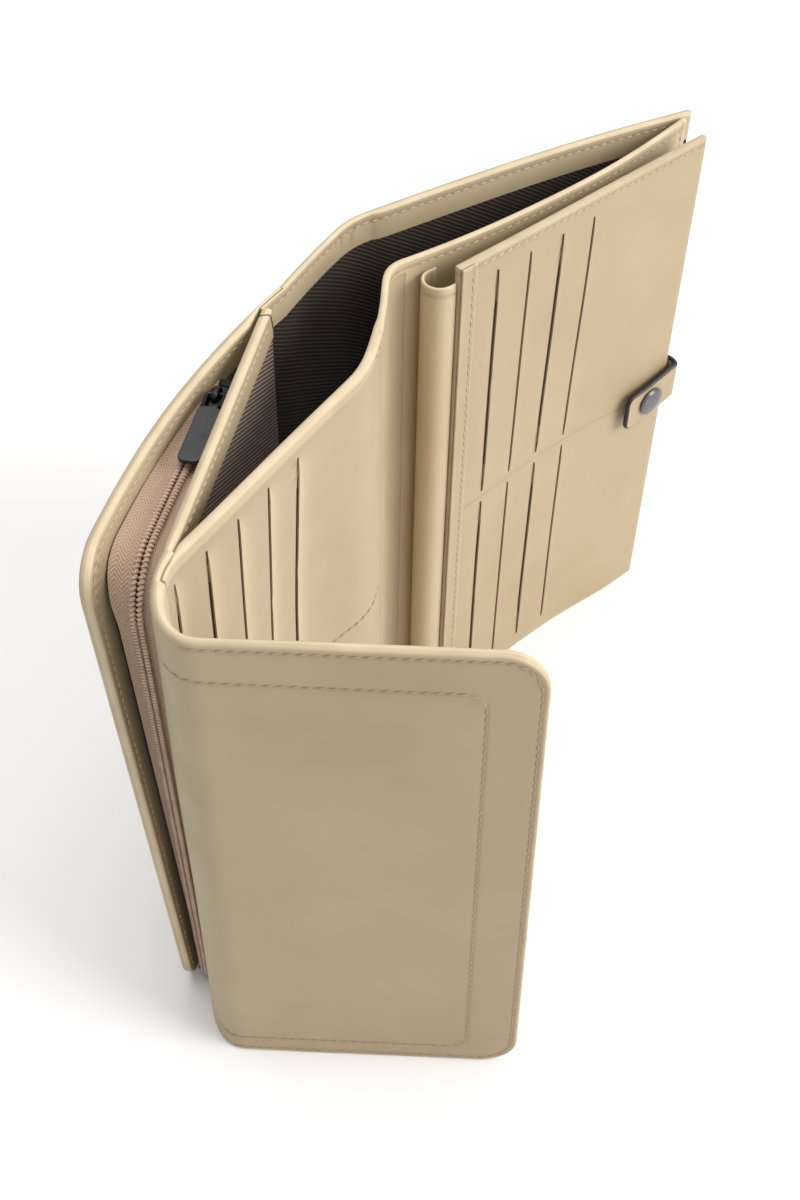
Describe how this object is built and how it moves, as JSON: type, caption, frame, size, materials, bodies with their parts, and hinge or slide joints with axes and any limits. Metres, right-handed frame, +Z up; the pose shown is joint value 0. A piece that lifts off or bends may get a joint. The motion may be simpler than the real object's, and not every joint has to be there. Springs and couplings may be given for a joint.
{
  "type": "travel wallet",
  "caption": "Long trifold leather travel wallet standing on its short end, fanned open, with zip pocket, bill compartment, card slots, turning leaf, strap and flap.",
  "frame": {"origin": "middle of the footprint of the fanned-open wallet, on the surface that it stands on", "axes": "+Z up along the wallet's long side; +Y away from the flap, towards the far ends of the back panel and the leaf; +X to the right, the way the flap points from its fold"},
  "size_m": [0.1654, 0.2204, 0.19],
  "materials": {
    "cover_leather": "smooth cream leather",
    "inner_leather": "smooth cream leather",
    "leaf_leather": "smooth beige leather",
    "strap_leather": "smooth beige leather with painted edges",
    "twill_lining": "dark cloth with fine slanting stripes",
    "stiff_board": "plain stiffening board",
    "zip_tape": "woven tape",
    "zip_chain": "moulded coil",
    "dark_metal": "dark polished plating",
    "nickel": "dark nickel plating"
  },
  "bodies": {
    "back_wing": {"back_board": "stiff_board", "back_facing": "inner_leather", "back_leather": "cover_leather", "back_lining": "twill_lining"},
    "card_panel": {"card_panel_face": "inner_leather", "card_panel_facing": "inner_leather", "card_panel_lining": "twill_lining", "card_panel_pockets": "twill_lining", "inner_corner_facing": "inner_leather", "inner_corner_leather": "inner_leather", "inner_corner_lining": "twill_lining"},
    "middle": {"compartment_floor": "twill_lining", "divider_board": "stiff_board", "divider_facing": "inner_leather", "divider_leather": "cover_leather", "divider_lining": "twill_lining", "front_fold_leather": "cover_leather", "front_fold_lining": "inner_leather", "spine_facing": "inner_leather", "spine_leather": "cover_leather", "spine_lining": "twill_lining", "zip_chain_inner": "zip_chain", "zip_chain_outer": "zip_chain", "zip_pocket_floor": "twill_lining", "zip_tape_inner": "zip_tape", "zip_top_stop": "dark_metal"},
    "document_wing": {"document_facing": "inner_leather", "document_leather": "inner_leather", "document_lining": "twill_lining", "roll_gusset": "leaf_leather"},
    "flap": {"flap_board": "stiff_board", "flap_leather": "cover_leather", "flap_lining": "inner_leather", "flap_pocket": "inner_leather"},
    "leaf": {"leaf_back": "leaf_leather", "leaf_binding": "leaf_leather", "leaf_face": "leaf_leather", "leaf_pockets": "twill_lining", "snap_stud": "nickel", "strap_anchor": "strap_leather", "strap_bend": "strap_leather"},
    "pull": {"pull_bail": "dark_metal", "pull_tab": "dark_metal"},
    "slider": {"slider_body": "dark_metal", "slider_bridge": "dark_metal"},
    "strap": {"snap_cap": "nickel", "snap_socket": "nickel", "strap_tab": "strap_leather"},
    "zip_panel": {"zip_panel_board": "stiff_board", "zip_panel_facing": "inner_leather", "zip_panel_leather": "cover_leather", "zip_panel_lining": "twill_lining", "zip_tape_outer": "zip_tape"}
  },
  "joints": [
    {"name": "flap_fold", "type": "hinge", "parent": "middle", "child": "flap", "pos_m": [-0.05273, -0.09527, 0], "axis": [0, 0, 1], "range_deg": [-98, 72], "deforming": ["front_fold_leather", "front_fold_lining"]},
    {"name": "wing_fold", "type": "hinge", "parent": "middle", "child": "back_wing", "pos_m": [-0.02392, 0.03238, 0], "axis": [0, 0, 1], "range_deg": [-122, 0], "deforming": ["spine_leather", "spine_lining", "spine_facing", "compartment_floor"]},
    {"name": "card_panel_sway", "type": "hinge", "parent": "middle", "child": "card_panel", "pos_m": [-0.06205, -0.08412, 0], "axis": [0, 0, 1], "range_deg": [0, 13.5], "deforming": ["inner_corner_leather", "inner_corner_lining", "inner_corner_facing"]},
    {"name": "document_gape", "type": "hinge", "parent": "back_wing", "child": "document_wing", "pos_m": [0.0737, 0.10498, 0], "axis": [0, 0, 1], "range_deg": [-8.6, 0]},
    {"name": "leaf_turn", "type": "hinge", "parent": "document_wing", "child": "leaf", "pos_m": [0.00391, 0.02725, 0], "axis": [0, 0, -1], "range_deg": [0, 147], "deforming": ["roll_gusset"]},
    {"name": "strap_swing", "type": "hinge", "parent": "leaf", "child": "strap", "pos_m": [0.07938, 0.09616, 0], "axis": [0, 0, -1], "range_deg": [-150, 0], "deforming": ["strap_bend"]},
    {"name": "zip_panel_gape", "type": "hinge", "parent": "middle", "child": "zip_panel", "pos_m": [-0.04382, 0.01718, 0], "axis": [0, 0, -1], "range_deg": [0, 5], "deforming": ["zip_tape_outer", "zip_tape_inner", "zip_pocket_floor"]},
    {"name": "slider_slide", "type": "slide", "parent": "middle", "child": "slider", "axis": [-0.2351, -0.972, 0], "range_m": [0, 0.045], "deforming": ["zip_chain_outer", "zip_chain_inner"]},
    {"name": "pull_flip", "type": "hinge", "parent": "slider", "child": "pull", "pos_m": [-0.05681, -0.02357, 0.18735], "axis": [-0.9833, 0.1822, 0], "range_deg": [0, 140]}
  ],
  "couplings": [
    {"joint": "card_panel_sway", "follows": "wing_fold", "ratio": -0.108},
    {"joint": "document_gape", "follows": "wing_fold", "ratio": 0.07}
  ]
}
